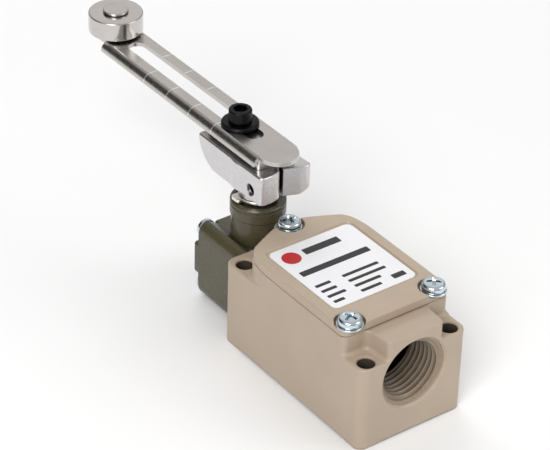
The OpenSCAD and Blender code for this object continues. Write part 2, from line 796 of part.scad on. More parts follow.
module ground_screw() {
    color("green") translate([ground_x, cavity_front_y, ground_z]) {
        translate([0, -3.6, 0]) rod_y(module_tap_r - 0.05, 3.8);
        rod_y(3, 0.8);
        difference() {
            translate([0, 0.7, 0]) rod_y(2.6, 2);
            for (a = [0, 90])
                rotate([0, a, 0]) translate([-1.7, 1.7, -0.35]) cube([3.4, 2, 0.7]);
        }
    }
}

switch_box();
cover_gasket();
cover();
nameplate();
cover_screws();
head_casting();
head_gasket();
head_screws();
shaft_bushing();
shaft_seal();
rotary_shaft();
drive_cam();
position_indicator();
lever_clamp();
clamp_bolt();
clamp_lock_washer();
arm_bolt();
arm_washer();
slotted_arm();
roller_spacer();
roller_pin();
roller();
drive_plunger();
plunger_spring();
plunger_bush();
module_base();
module_lid();
module_screws();
no_contacts();
nc_contacts();
terminal_screws();
terminal_clamps();
module_plunger();
contact_bridge();
contact_spring();
ground_screw();
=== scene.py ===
"""Looks for the heavy-duty limit switch with an adjustable roller lever.

The object lies on its back: +Z out of the cover, +Y toward the lever head.
Lengths in this file are in millimetres unless a name says otherwise.
"""

import math

import bmesh
import bpy
from mathutils import Matrix, Vector


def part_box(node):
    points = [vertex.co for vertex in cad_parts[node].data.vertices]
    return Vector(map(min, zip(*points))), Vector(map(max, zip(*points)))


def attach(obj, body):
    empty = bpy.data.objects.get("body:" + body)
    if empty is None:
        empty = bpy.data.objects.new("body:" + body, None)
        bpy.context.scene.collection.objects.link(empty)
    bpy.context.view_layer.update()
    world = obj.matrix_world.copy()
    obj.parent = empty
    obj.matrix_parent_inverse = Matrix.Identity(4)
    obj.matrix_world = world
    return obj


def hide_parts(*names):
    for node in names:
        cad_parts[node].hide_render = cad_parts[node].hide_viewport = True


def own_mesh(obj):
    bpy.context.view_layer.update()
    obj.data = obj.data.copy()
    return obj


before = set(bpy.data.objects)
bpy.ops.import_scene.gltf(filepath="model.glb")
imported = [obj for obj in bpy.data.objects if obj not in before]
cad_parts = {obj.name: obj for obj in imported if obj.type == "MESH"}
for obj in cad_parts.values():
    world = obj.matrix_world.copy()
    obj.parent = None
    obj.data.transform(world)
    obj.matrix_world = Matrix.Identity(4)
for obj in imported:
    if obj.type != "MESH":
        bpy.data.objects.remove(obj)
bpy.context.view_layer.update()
MM = 0.001
SPECK = 0.004
scene = bpy.context.scene


# ---------------------------------------------------------------- shape tools

def cad(node):
    """Lowest and highest corner of a CAD node, in millimetres."""
    low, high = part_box(node)
    return low / MM, high / MM


def arc(cx, cy, r, start, end, n=8):
    """Points of an arc from start to end degrees."""
    angles = [math.radians(start + (end - start) * i / n) for i in range(n + 1)]
    return [(cx + r * math.cos(a), cy + r * math.sin(a)) for a in angles]


def rounded(x0, y0, x1, y1, r, n=8):
    """A rectangle with rounded corners, anticlockwise."""
    return (arc(x1 - r, y1 - r, r, 0, 90, n) + arc(x0 + r, y1 - r, r, 90, 180, n)
            + arc(x0 + r, y0 + r, r, 180, 270, n) + arc(x1 - r, y0 + r, r, 270, 360, n))


def both_sides(right):
    """An outline from its right half, which runs from the low end to the high end."""
    return right + [(-x, y) for x, y in reversed(right)]


def smoothed(points, times=2):
    """An open line with its corners cut into curves, its ends kept."""
    for _ in range(times):
        cut = [points[0]]
        for (x0, y0), (x1, y1) in zip(points, points[1:]):
            cut.append((0.75 * x0 + 0.25 * x1, 0.75 * y0 + 0.25 * y1))
            cut.append((0.25 * x0 + 0.75 * x1, 0.25 * y0 + 0.75 * y1))
        points = cut + [points[-1]]
    return points


def tidy_outline(points, least=0.02):
    """The outline without points that repeat the one before."""
    kept = []
    for p in points:
        if not kept or math.dist(p, kept[-1]) > least:
            kept.append(p)
    if math.dist(kept[0], kept[-1]) <= least:
        kept.pop()
    return kept


def inset(points, d):
    """The outline moved inward by d along its corner bisectors."""
    if not d:
        return list(points)
    moved = []
    for i, p in enumerate(points):
        before, here, after = Vector(points[i - 1]), Vector(p), Vector(points[(i + 1) % len(points)])
        a, b = (here - before).normalized(), (after - here).normalized()
        na, nb = Vector((-a.y, a.x)), Vector((-b.y, b.x))
        shift = (na + nb) * (d / max(0.4, 1 + na.dot(nb)))
        moved.append((here.x + shift.x, here.y + shift.y))
    return moved


def placed(axis, centre=(0, 0, 0)):
    """Turns (u, v, h) into a point, h being the distance along the axis."""
    cx, cy, cz = centre
    return {
        "z": lambda u, v, h: (cx + u, cy + v, cz + h),
        "y": lambda u, v, h: (cx + u, cy + h, cz + v),
        "x": lambda u, v, h: (cx + h, cy + u, cz + v),
    }[axis]


def mesh_object(name, points, faces):
    mesh = bpy.data.meshes.new(name)
    mesh.from_pydata([tuple(c * MM for c in p) for p in points], [], faces)
    bm = bmesh.new()
    bm.from_mesh(mesh)
    bmesh.ops.recalc_face_normals(bm, faces=bm.faces)
    bm.to_mesh(mesh)
    bm.free()
    obj = bpy.data.objects.new(name, mesh)
    scene.collection.objects.link(obj)
    return obj


def loft(name, rings, loop=False):
    """A skin over rings of points that match one to one, capped unless it closes on itself."""
    n, count = len(rings[0]), len(rings)
    points = [p for ring in rings for p in ring]
    spans = range(count if loop else count - 1)
    faces = [(a * n + i, a * n + (i + 1) % n, (a + 1) % count * n + (i + 1) % n, (a + 1) % count * n + i)
             for a in spans for i in range(n)]
    if not loop:
        faces += [tuple(range(n)), tuple((count - 1) * n + i for i in range(n))]
    return mesh_object(name, points, faces)


def prism(name, outline, h0, h1, round0=0.0, round1=0.0, steps=4, axis="z", centre=(0, 0, 0)):
    """An outline extruded from h0 to h1, with rounded ends."""
    outline, to = tidy_outline(outline), placed(axis, centre)
    levels = []
    for i in range(steps + 1) if round0 else [steps]:
        a = math.pi / 2 * i / steps
        levels.append((round0 * (1 - math.sin(a)), h0 + round0 * (1 - math.cos(a))))
    for i in range(steps + 1) if round1 else [0]:
        a = math.pi / 2 * i / steps
        levels.append((round1 * (1 - math.cos(a)), h1 - round1 * (1 - math.sin(a))))
    return loft(name, [[to(x, y, h) for x, y in inset(outline, d)] for d, h in levels])


def lathe(name, profile, centre=(0, 0, 0), axis="z", ring=False, segments=64):
    """A profile of (radius, height) points turned about an axis."""
    to = placed(axis, centre)
    turns = [2 * math.pi * i / segments for i in range(segments)]
    rings = [[to(r * math.cos(a), r * math.sin(a), h) for a in turns] for r, h in profile]
    return loft(name, rings, loop=ring)


def rod(name, r, h0, h1, centre=(0, 0, 0), axis="z", segments=48):
    return lathe(name, [(r, h0), (r, h1)], centre, axis, segments=segments)


def box(name, x0, y0, z0, x1, y1, z1):
    return prism(name, [(x0, y0), (x1, y0), (x1, y1), (x0, y1)], z0, z1)


def bake_modifiers(obj):
    """Replaces the mesh by what its modifiers make of it."""
    graph = bpy.context.evaluated_depsgraph_get()
    graph.update()
    done = bpy.data.meshes.new_from_object(obj.evaluated_get(graph))
    obj.modifiers.clear()
    obj.data = done


def combine(obj, tools, operation):
    for tool in tools:
        m = obj.modifiers.new("combine", "BOOLEAN")
        m.operation, m.solver, m.object = operation, "EXACT", tool
    bake_modifiers(obj)
    for tool in tools:
        bpy.data.objects.remove(tool)
    return obj


def carve(obj, *tools):
    return combine(obj, tools, "DIFFERENCE")


def fuse(obj, *tools):
    return combine(obj, tools, "UNION")


def trim(obj, *tools):
    return combine(obj, tools, "INTERSECT")


def soften(obj, width, segments=3, angle=32):
    """Rounds every edge sharper than angle, in degrees."""
    bm = bmesh.new()
    bm.from_mesh(obj.data)
    bmesh.ops.remove_doubles(bm, verts=bm.verts, dist=SPECK * MM)
    bmesh.ops.dissolve_degenerate(bm, edges=bm.edges, dist=SPECK * MM)
    bm.to_mesh(obj.data)
    bm.free()
    m = obj.modifiers.new("bevel", "BEVEL")
    m.width, m.segments, m.limit_method = width * MM, segments, "ANGLE"
    m.angle_limit, m.use_clamp_overlap, m.miter_outer = math.radians(angle), True, "MITER_ARC"
    bake_modifiers(obj)
    return shade(obj)


def shade(obj, angle=42):
    obj.data.shade_smooth()
    obj.data.set_sharp_from_angle(angle=math.radians(angle))
    m = obj.modifiers.new("normals", "WEIGHTED_NORMAL")
    m.keep_sharp, m.weight = True, 60
    bake_modifiers(obj)
    return obj


def merged(name, parts):
    """Several objects as one."""
    bm = bmesh.new()
    for part in parts:
        bm.from_mesh(part.data)
    mesh = bpy.data.meshes.new(name)
    bm.to_mesh(mesh)
    bm.free()
    for part in parts:
        bpy.data.objects.remove(part)
    obj = bpy.data.objects.new(name, mesh)
    scene.collection.objects.link(obj)
    return obj


# ------------------------------------------------------------------ materials

def linear(r, g, b):
    """An sRGB colour, 0 to 255, as linear numbers."""
    out = []
    for c in (r, g, b):
        c /= 255
        out.append(c / 12.92 if c <= 0.04045 else ((c + 0.055) / 1.055) ** 2.4)
    return out


class Finish:
    """A material whose colour, roughness and bump all vary."""

    def __init__(self, name, colour, metallic=0.0, roughness=0.5):
        self.material = bpy.data.materials.new(name)
        self.material.use_nodes = True
        self.tree = self.material.node_tree
        self.shader = self.tree.nodes["Principled BSDF"]
        self.shader.inputs["Metallic"].default_value = metallic
        self.where = self.node("ShaderNodeTexCoord").outputs["Object"]
        self.colour = None
        self.base = colour
        self.rough = roughness
        self.normal = None

    def node(self, kind, **settings):
        n = self.tree.nodes.new(kind)
        for key, value in settings.items():
            setattr(n, key, value)
        return n

    def link(self, a, b):
        self.tree.links.new(a, b)

    def stretched(self, scale=(1, 1, 1), offset=(0, 0, 0)):
        m = self.node("ShaderNodeMapping")
        m.inputs["Scale"].default_value = scale
        m.inputs["Location"].default_value = offset
        self.link(self.where, m.inputs["Vector"])
        return m.outputs["Vector"]

    def noise(self, per_mm, detail=4.0, vector=None, rough=0.55):
        n = self.node("ShaderNodeTexNoise")
        n.inputs["Scale"].default_value = per_mm / MM
        n.inputs["Detail"].default_value = detail
        n.inputs["Roughness"].default_value = rough
        self.link(vector or self.where, n.inputs["Vector"])
        return n.outputs["Fac"]

    def ramp(self, value, low, high, out_low=0.0, out_high=1.0):
        m = self.node("ShaderNodeMapRange")
        m.inputs["From Min"].default_value, m.inputs["From Max"].default_value = low, high
        m.inputs["To Min"].default_value, m.inputs["To Max"].default_value = out_low, out_high
        self.link(value, m.inputs["Value"])
        return m.outputs["Result"]

    def edges(self, reach, low=0.55, high=0.9):
        """1 on convex edges, 0 on flat faces."""
        ao = self.node("ShaderNodeAmbientOcclusion", samples=8, inside=True)
        ao.inputs["Distance"].default_value = reach * MM
        return self.ramp(ao.outputs["AO"], high, low)

    def painted_shade_mask(self, reach, low=0.35, high=0.85):
        """1 in corners and crevices, 0 on open faces: the mask for painted shade there."""
        ao = self.node("ShaderNodeAmbientOcclusion", samples=8)
        ao.inputs["Distance"].default_value = reach * MM
        return self.ramp(ao.outputs["AO"], high, low)

    def mix(self, colour, mask, share=1.0):
        """Lays a colour over what is there, where the mask is."""
        m = self.node("ShaderNodeMix", data_type="RGBA")
        if self.colour is None:
            m.inputs["A"].default_value = (*self.base, 1)
        else:
            self.link(self.colour, m.inputs["A"])
        m.inputs["B"].default_value = (*colour, 1)
        if share != 1.0:
            mask = self.ramp(mask, 0, 1, 0, share)
        self.link(mask, m.inputs["Factor"])
        self.colour = m.outputs["Result"]

    def mottle(self, amount, per_mm):
        """Slightly lighter and darker patches."""
        light = [min(1, c * (1 + amount)) for c in self.base]
        dark = [c * (1 - amount) for c in self.base]
        fac = self.noise(per_mm, 3)
        self.mix(dark, self.ramp(fac, 0.5, 0.25))
        self.mix(light, self.ramp(fac, 0.5, 0.75))

    def vary_roughness(self, amount, per_mm, vector=None):
        fac = self.noise(per_mm, 5, vector)
        value = self.ramp(fac, 0.3, 0.7, self.rough - amount, self.rough + amount)
        self.link(value, self.shader.inputs["Roughness"])

    def bump(self, height, depth_mm, strength=1.0):
        b = self.node("ShaderNodeBump")
        b.inputs["Strength"].default_value = strength
        b.inputs["Distance"].default_value = depth_mm * MM
        self.link(height, b.inputs["Height"])
        if self.normal is not None:
            self.link(self.normal, b.inputs["Normal"])
        self.normal = b.outputs["Normal"]

    def done(self):
        if self.colour is None:
            self.shader.inputs["Base Color"].default_value = (*self.base, 1)
        else:
            self.link(self.colour, self.shader.inputs["Base Color"])
        if not self.shader.inputs["Roughness"].is_linked:
            self.shader.inputs["Roughness"].default_value = self.rough
        if self.normal is not None:
            self.link(self.normal, self.shader.inputs["Normal"])
        return self.material


def cast_enamel(name, colour, roughness, edge, shade_tone, deep_shade=0.85, crease_shade=0.35, grit=0.5):
    """Paint on a casting: worn edges, grit, and painted shade in creases and, much darker, in deep places;
    the last colour given is the tone of that painted shade and the two shares after it set how much.
    """
    f = Finish(name, colour, 0.0, roughness)
    f.mottle(0.05, 0.06)
    # painted shade in creases, and a near-black painted shade in deep places such as holes and the cavity
    f.mix(shade_tone, f.painted_shade_mask(1.6), crease_shade)
    f.mix([c * 0.12 for c in shade_tone], f.painted_shade_mask(7.0, 0.04, 0.34), deep_shade)
    f.mix(edge, f.edges(0.35), 0.4)
    f.vary_roughness(0.07, 0.5)
    f.bump(f.noise(1.1, 3), 0.012, grit)
    f.bump(f.noise(7.0, 2), 0.003, grit)
    return f.done()


def metal(name, colour, roughness, spread=0.05, grain=None, pits=0.0, edge=None, neighbour_shade=0.0):
    """Bare or plated metal with painted shade in its crevices; the last argument lays a deeper painted
    shade on what other faces stand close to.
    """
    f = Finish(name, colour, 1.0, roughness)
    f.mottle(0.05, 0.12)
    # painted shade in crevices
    f.mix([c * 0.35 for c in colour], f.painted_shade_mask(0.9), 0.5)
    # deeper painted shade where other faces stand close, such as the clamp top under the arm
    if neighbour_shade:
        f.mix([c * 0.10 for c in colour], f.painted_shade_mask(5.0, 0.12, 0.56), neighbour_shade)
    if edge:
        f.mix(edge, f.edges(0.25), 0.5)
    if grain:
        stretched = f.stretched(grain)
        f.vary_roughness(spread, 1.0, stretched)
        f.bump(f.noise(1.0, 3, stretched), 0.002, 0.35)
    else:
        f.vary_roughness(spread, 0.8)
    if pits:
        f.bump(f.noise(2.2, 4), 0.01, pits)
    return f.done()


def turned_metal(name, colour, roughness, centre, rings_per_mm=5.0):
    """Steel with fine turning rings about an axis along Z."""
    f = Finish(name, colour, 1.0, roughness)
    f.mottle(0.04, 0.2)
    # painted shade in crevices
    f.mix([c * 0.3 for c in colour], f.painted_shade_mask(0.6), 0.5)
    where = f.stretched(offset=(-centre[0] * MM, -centre[1] * MM, 0))
    w = f.node("ShaderNodeTexWave", wave_type="RINGS", rings_direction="Z")
    w.inputs["Scale"].default_value = rings_per_mm / MM / 20
    w.inputs["Distortion"].default_value = 0.4
    f.link(where, w.inputs["Vector"])
    f.bump(w.outputs["Fac"], 0.003, 0.25)
    f.vary_roughness(0.05, 1.5)
    return f.done()


def plastic(name, colour, roughness, peel=0.4):
    f = Finish(name, colour, 0.0, roughness)
    f.mottle(0.08, 0.3)
    # painted shade in crevices
    f.mix([c * 0.4 for c in colour], f.painted_shade_mask(0.8), 0.5)
    f.vary_roughness(0.06, 1.0)
    f.bump(f.noise(4.0, 3), 0.006, peel)
    return f.done()


BEIGE = linear(177, 160, 141)
OLIVE = linear(75, 70, 50)

# the last colour in each paint is the tone of its painted shade
HOUSING = cast_enamel("housing_enamel", BEIGE, 0.40, linear(206, 190, 171), linear(108, 98, 82))
HEAD = cast_enamel("head_enamel", OLIVE, 0.30, linear(108, 102, 80), linear(28, 25, 16), grit=0.22)
# the thread's paint: a darker copy of the housing paint with heavy painted shade, for the shade inside the
# conduit bore
BORE_SHADE = cast_enamel("bore_enamel_shaded", linear(140, 124, 104), 0.34, linear(196, 178, 156),
                   linear(40, 32, 24), 0.97, 0.7)
# dark inside colour with deep painted shade: partly the bare casting inside the cavity, partly painted
# shade in the cavity and the mounting holes
INNER_SHADE = cast_enamel("inner_casting_shaded", linear(74, 66, 56), 0.6, linear(96, 88, 76), linear(24, 20, 16), 0.9)
RUBBER = plastic("gasket_rubber", linear(40, 38, 36), 0.75)
ZINC = metal("zinc_plate", [0.66, 0.75, 0.80], 0.17, 0.06, pits=0.15)
# the clamp and the arm get deeper painted shade where other parts stand close over them
NICKEL = metal("tumbled_nickel", [0.66, 0.65, 0.65], 0.32, 0.07, pits=0.25, edge=[0.9, 0.9, 0.9],
               neighbour_shade=0.9)
TAB = metal("indicator_plate", [0.86, 0.82, 0.74], 0.30, 0.06, edge=[0.95, 0.93, 0.88])
STEEL = metal("satin_sheet", [0.56, 0.535, 0.51], 0.27, 0.08, grain=(9.0, 0.5, 9.0),
              edge=[0.85, 0.84, 0.82], neighbour_shade=0.6)
GROUND = metal("ground_steel", [0.58, 0.58, 0.58], 0.25, 0.06)
BLACK = metal("black_oxide", [0.022, 0.021, 0.022], 0.36, 0.10, pits=0.2)
BRONZE = metal("sintered_bronze", [0.60, 0.40, 0.18], 0.42, 0.08, pits=0.3)
BRASS = metal("contact_brass", [0.80, 0.60, 0.27], 0.28, 0.08)
SPRING = metal("spring_wire", [0.45, 0.45, 0.46], 0.30, 0.06)
PHENOLIC = plastic("brown_phenolic", linear(58, 40, 30), 0.5)
RED = plastic("red_moulding", linear(168, 48, 40), 0.4)
ACETAL = plastic("white_acetal", linear(232, 228, 220), 0.45)
# a dark copy of the clamp metal for the inside of its tapped hole: painted shade
TAPPED_SHADE = metal("tapped_thread_shaded", [0.22, 0.21, 0.21], 0.35, 0.05)
MARK = metal("cut_mark", [0.93, 0.92, 0.90], 0.42, 0.06)


def film(name, colour, roughness=0.38):
    f = Finish(name, colour, 0.0, roughness)
    f.mottle(0.02, 0.15)
    f.vary_roughness(0.05, 0.8)
    f.bump(f.noise(0.35, 2), 0.01, 0.2)
    f.bump(f.noise(12.0, 2), 0.0015, 0.3)
    return f.done()


FILM = film("label_film", linear(232, 232, 234))
INK_BLACK = film("ink_black", linear(38, 38, 40))
INK_RED = film("ink_red", linear(184, 32, 34))


def dress(obj, material, body, slot, *nodes):
    """Gives a finished piece its material, its body and the CAD nodes it stands for."""
    obj.data.materials.clear()
    obj.data.materials.append(material)
    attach(obj, body)
    if nodes:
        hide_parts(*nodes)


# --------------------------------------------------------------------- housing

box_low, box_high = cad("switch_box")
cover_low, cover_high = cad("cover")
HALF_W = box_high.x
FRONT, BACK = box_low.y, box_high.y
SEAM = box_high.z
PLATFORM = 28.4
PAD_H = 0.4
HOLE_X, HOLE_Y, HOLE_R = 15.1, 29.35, 2.6
CONDUIT_Z = 20.6
POCKET_X, POCKET_Y = 10.0, -23.9
CAVITY_X, CAVITY_Y0, CAVITY_Y1 = 15.9, -18.4, 20.0
COVER_SCREWS = [(-15.2, -21.4), (15.2, -21.4), (0.0, 28.0)]
SCREW_SEAT = 36.5
M4_CORE_R, M4_CLEAR_R = 1.65, 2.25
CORNER_R = 3.2
PLUNGER_Z = 14.05


def upper_outline():
    right = arc(POCKET_X - 1.5, FRONT + 1.5, 1.5, 270, 360, 6)
    right += arc(POCKET_X + 2.7, POCKET_Y - 2.2, 2.2, 180, 90, 10)
    right += arc(HALF_W - 2.0, POCKET_Y + 2.0, 2.0, 270, 360, 8)
    right += smoothed([(HALF_W, 12.0), (HALF_W, 14.8), (18.7, 18.8), (18.0, 21.6), (16.6, 23.6),
                       (15.3, 24.5), (8.6, 27.5), (6.6, 28.0)], 1)
    right += arc(0, 28, 4.6, 2, 90, 14)
    return tidy_outline(both_sides(right))


def cover_outline():
    right = [(0.0, -24.1)] + arc(HALF_W - 2.4, -21.7, 2.4, 270, 360, 8)
    right += smoothed([(HALF_W, 12.0), (HALF_W, 14.5), (18.6, 18.5), (17.9, 21.3), (16.5, 23.3),
                       (15.2, 24.2), (6.6, 28.3), (4.6, 28.8)], 1)
    return tidy_outline(both_sides(right + [(0.0, 28.8)]))


def upper_block():
    """The box above the corner platforms, with a fillet round its foot."""
    outline, to, f = upper_outline(), placed("z"), 1.4
    foot = PLATFORM - 0.03
    levels = [(0.0, 20.0), (0.0, foot - 0.9), (-f, foot - 0.1)]
    for i in range(6):
        a = math.pi / 2 * i / 5
        levels.append((-f * (1 - math.sin(a)), foot + f * (1 - math.cos(a))))
    for i in range(4):
        a = math.pi / 2 * i / 3
        levels.append((0.4 * (1 - math.cos(a)), SEAM - 0.4 * (1 - math.sin(a))))
    block = loft("upper", [[to(x, y, h) for x, y in inset(outline, d)] for d, h in levels])
    return trim(block, prism("limit", rounded(-HALF_W, FRONT, HALF_W, BACK, CORNER_R, 10), 10, SEAM + 5))


def make_box():
    lower = prism("box_body", rounded(-HALF_W, FRONT, HALF_W, BACK, CORNER_R, 10),
                  PAD_H, PLATFORM, 0.5, 0.6, 4)
    upper = upper_block()
    pads = []
    for sx in (-1, 1):
        for sy in (-1, 1):
            x, y = sx * HOLE_X, sy * HOLE_Y
            x0, x1 = max(x - 5.2, -HALF_W + 0.2), min(x + 5.2, HALF_W - 0.2)
            y0, y1 = max(y - 5.2, FRONT + 0.2), min(y + 5.2, BACK - 0.2)
            pads.append(prism("pad", rounded(x0, y0, x1, y1, 2.6, 5), 0.0, 1.4, 0.1, 0, 2))
    fuse(lower, upper, *pads)
    tools = [box("cavity", -CAVITY_X, CAVITY_Y0, 3.5, CAVITY_X, CAVITY_Y1, SEAM + 1)]
    to_conduit = (0, FRONT, CONDUIT_Z)
    tools.append(rod("bore", 10.7, -1, CAVITY_Y0 - FRONT + 1, to_conduit, "y", 96))
    tools.append(lathe("lead", [(13.0, -1.2), (11.8, 0.0), (11.2, 0.6), (11.2, 1.3)],
                       to_conduit, "y", segments=96))
    for sx in (-1, 1):
        for sy in (-1, 1):
            at = (sx * HOLE_X, sy * HOLE_Y, 0)
            tools.append(lathe("hole", [(HOLE_R + 0.5, -1), (HOLE_R + 0.5, 0.0), (HOLE_R, 0.5),
                                        (HOLE_R, PLATFORM - 0.7), (HOLE_R + 0.25, PLATFORM - 0.25),
                                        (HOLE_R + 0.75, PLATFORM), (HOLE_R + 1.6, PLATFORM + 0.5)], at))
    for x, y in COVER_SCREWS:
        tools.append(rod("screw_hole", M4_CORE_R, 28.6, SEAM + 1, (x, y, 0)))
    tools.append(rod("spring_well", 4.9, 28.6, BACK + 1, (0, 0, PLUNGER_Z), "y"))
    tools.append(rod("bush_hole", 3.4, CAVITY_Y1 - 1, 29, (0, 0, PLUNGER_Z), "y"))
    carve(lower, *tools)
    soften(lower, 0.28, 3)
    dress(lower, HOUSING, "housing", "housing_paint", "switch_box")
    # faces in the cavity and in the mounting holes take the dark inside colour: painted shade in those
    # hollows, partly the bare inner casting
    lower.data.materials.append(INNER_SHADE)
    for face in lower.data.polygons:
        x, y, z = face.center / MM
        in_length = CAVITY_Y0 - 0.05 < y < CAVITY_Y1 + 0.05
        in_cavity = abs(x) < CAVITY_X + 0.05 and in_length and z < SEAM - 0.3
        in_hole = math.hypot(abs(x) - HOLE_X, abs(y) - HOLE_Y) < HOLE_R + 0.03 and z < PLATFORM - 0.9
        if in_cavity or in_hole:
            face.material_index = 1


def make_thread():
    """The G 1/2 thread as one helical skin inside the conduit bore."""
    pitch, crest, root = 1.814, 9.36, 10.44
    start, end, back = 1.3, 13.9, 10.75
    around = 96
    steps_per_turn = 16
    run_in = 0.7
    to = placed("y", (0, FRONT, CONDUIT_Z))
    count = int((end - start) / pitch * steps_per_turn)
    rings = []
    for j in range(count + 1):
        h = start + (end - start) * j / count
        ring = []
        for i in range(around):
            a = 2 * math.pi * i / around
            t = (h / pitch - i / around) % 1.0
            ridge = abs(2 * t - 1)
            wave = min(1.0, max(0.0, ridge * 1.16 - 0.08))
            ease = min(1.0, (h - start) / run_in)
            r = root - (root - crest) * wave * ease
            ring.append(to(r * math.cos(a), r * math.sin(a), h))
        rings.append(ring)
    turns = [2 * math.pi * i / around for i in range(around)]
    for h in (end, start):
        rings.append([to(back * math.cos(a), back * math.sin(a), h) for a in turns])
    thread = loft("conduit_thread", rings, loop=True)
    shade(thread, 24)
    # the thread takes the darker paint: painted shade inside the bore
    dress(thread, BORE_SHADE, "housing", "housing_paint")


def make_cover():
    top = cover_high.z
    body = prism("cover_body", cover_outline(), cover_low.z, top, 0.12, 0.6, 5)
    lobe = prism("lobe", arc(0, 28, 4.5, 0, 352, 44), cover_low.z, SCREW_SEAT, 0.12, 0.3, 3)
    fuse(body, lobe)
    floor = top - 0.5
    low = rounded(-15.6, -14.8, 15.6, 19.4, 2.2, 8)
    high = rounded(-15.9, -15.1, 15.9, 19.7, 2.5, 8)
    past = rounded(-16.2, -15.4, 16.2, 20.0, 2.8, 8)
    to = placed("z")
    tools = [loft("recess", [[to(x, y, h) for x, y in ring]
                             for ring, h in ((low, floor), (high, top), (past, top + 0.5))])]
    for x, y in COVER_SCREWS:
        tools.append(lathe("pocket", [(4.3, SCREW_SEAT), (4.6, SCREW_SEAT + 0.3), (4.6, top - 0.2),
                                      (4.8, top + 0.01), (5.6, top + 1)], (x, y, 0)))
        tools.append(rod("clear", M4_CLEAR_R, cover_low.z - 1, top + 1, (x, y, 0)))
    carve(body, *tools)
    soften(body, 0.16, 3, 25)
    dress(body, HOUSING, "housing", "housing_paint", "cover")


def cross_tool(size, depth, top):
    """A Phillips recess: a cross that narrows to a point, along +h, ending at h = top."""
    def cross(long, wide):
        corner = [(long, -wide), (long, wide), (wide, wide)]
        points = []
        for k in range(4):
            c, s = math.cos(k * math.pi / 2), math.sin(k * math.pi / 2)
            points += [(x * c - y * s, x * s + y * c) for x, y in corner]
        return points
    levels = [(0.36 * size, 0.14 * size, top - depth), (0.72 * size, 0.17 * size, top - 0.6 * depth),
              (size, 0.20 * size, top), (1.1 * size, 0.21 * size, top + 0.6)]
    return [[(x, y, h) for x, y in cross(long, wide)] for long, wide, h in levels]


def pan_screw(name, r, height, centre, axis, turn=0.0, size=2.35, depth=1.6):
    """A pan head with a Phillips recess, standing on h = 0."""
    to = placed(axis, centre)
    crown = r * 0.80
    dome = crown * 0.86
    profile = [(r - 0.12, 0.0), (r, 0.15), (r, height * 0.42)]
    for i in range(1, 7):
        a = math.pi / 2 * i / 6
        profile.append((dome + (r - dome) * math.cos(a), height * (0.42 + 0.46 * math.sin(a))))
    profile += [(crown * 0.55, height * 0.96), (crown * 0.25, height)]
    head = lathe(name, profile, centre, axis)
    c, s = math.cos(turn), math.sin(turn)
    recess = cross_tool(size, depth, height)
    rings = [[to(x * c - y * s, x * s + y * c, h) for x, y, h in ring] for ring in recess]
    carve(head, loft("cross", rings))
    return soften(head, 0.06, 2, 40)


def make_cover_screws():
    parts = []
    for i, (x, y) in enumerate(COVER_SCREWS):
        section = [(2.2, 0.0), (3.85, 0.0), (4.0, 0.15), (4.0, 0.6), (3.85, 0.75), (2.2, 0.75)]
        washer = lathe("washer", section, (x, y, SCREW_SEAT), "z", ring=True)
        parts.append(shade(washer, 50))
        head = pan_screw("head", 3.6, 2.5, (x, y, SCREW_SEAT + 0.8), "z", math.radians(20 + 31 * i))
        parts.append(head)
        parts.append(rod("shank", 1.6, 27.0 - SCREW_SEAT, 0.9, (x, y, SCREW_SEAT)))
    dress(merged("cover_screw_set", parts), ZINC, "housing", "zinc_screw", "cover_screws")


def make_label():
    low, high = cad("nameplate")
    top = high.z - 0.02
    ink_from, ink_to = top - 0.02, top + 0.015
    plate = prism("label_plate", rounded(low.x, low.y, high.x, high.y, 2, 8), low.z, top, 0, 0.05, 2)
    shade(plate)
    dress(plate, FILM, "housing", "label_film", "nameplate")

    def bar(name, x, y, width, height, ink):
        r = min(0.3, height * 0.3)
        shape = prism(name, rounded(x, y, x + width, y + height, r, 3), ink_from, ink_to)
        dress(shade(shape), ink, "housing", "label_film")
    spot = prism("label_spot", arc(-10.2, 13.1, 3.0, 0, 352, 44), ink_from, ink_to)
    dress(shade(spot), INK_RED, "housing", "label_film")
    bar("label_bar_title", -5.4, 12.1, 13.0, 2.9, INK_BLACK)
    bar("label_bar_name", -13.0, 3.4, 24.8, 2.5, INK_BLACK)
    for row, (left, right) in enumerate([(5.4, 13.0), (5.4, 13.4), (6.4, 9.4), (3.8, 7.4)]):
        y = -3.2 - 2.95 * row
        bar(f"label_bar_a{row}", -13.2, y, left, 1.25, INK_BLACK)
        bar(f"label_bar_b{row}", -3.4, y, right, 1.25, INK_BLACK)
    bar("label_bar_small", 8.4, -12.0, 4.6, 2.2, INK_BLACK)


# ------------------------------------------------------------------------ head

head_low, head_high = cad("head_casting")
HEAD_MID = PLUNGER_Z
HEAD_TOP = 24.45
HEAD_HALF = 13.4
SHAFT_Y = 43.9
SHAFT_R = 4.0
BOSS_R, COLLAR_R = 8.25, 8.63
POST_AT, POST_R = 9.8, 3.5
HEAD_Y0 = head_low.y
BODY_END = 56.6
HEAD_END = head_high.y


def head_outline():
    """The section of the head across Y, with a round post at each corner."""
    off, r, flat = POST_AT, POST_R, HEAD_TOP - HEAD_MID
    quarter = [(HEAD_HALF, 0.0), (HEAD_HALF, off - 0.6)]
    quarter += arc(off, off, r, 8, 86, 10)
    quarter += [(off - r + 0.3, flat + 0.55), (off - r - 0.9, flat), (0.0, flat)]
    right = [(x, -z) for x, z in reversed(quarter)] + quarter[1:]
    return tidy_outline([(x, z) for x, z in right] + [(-x, z) for x, z in reversed(right)])


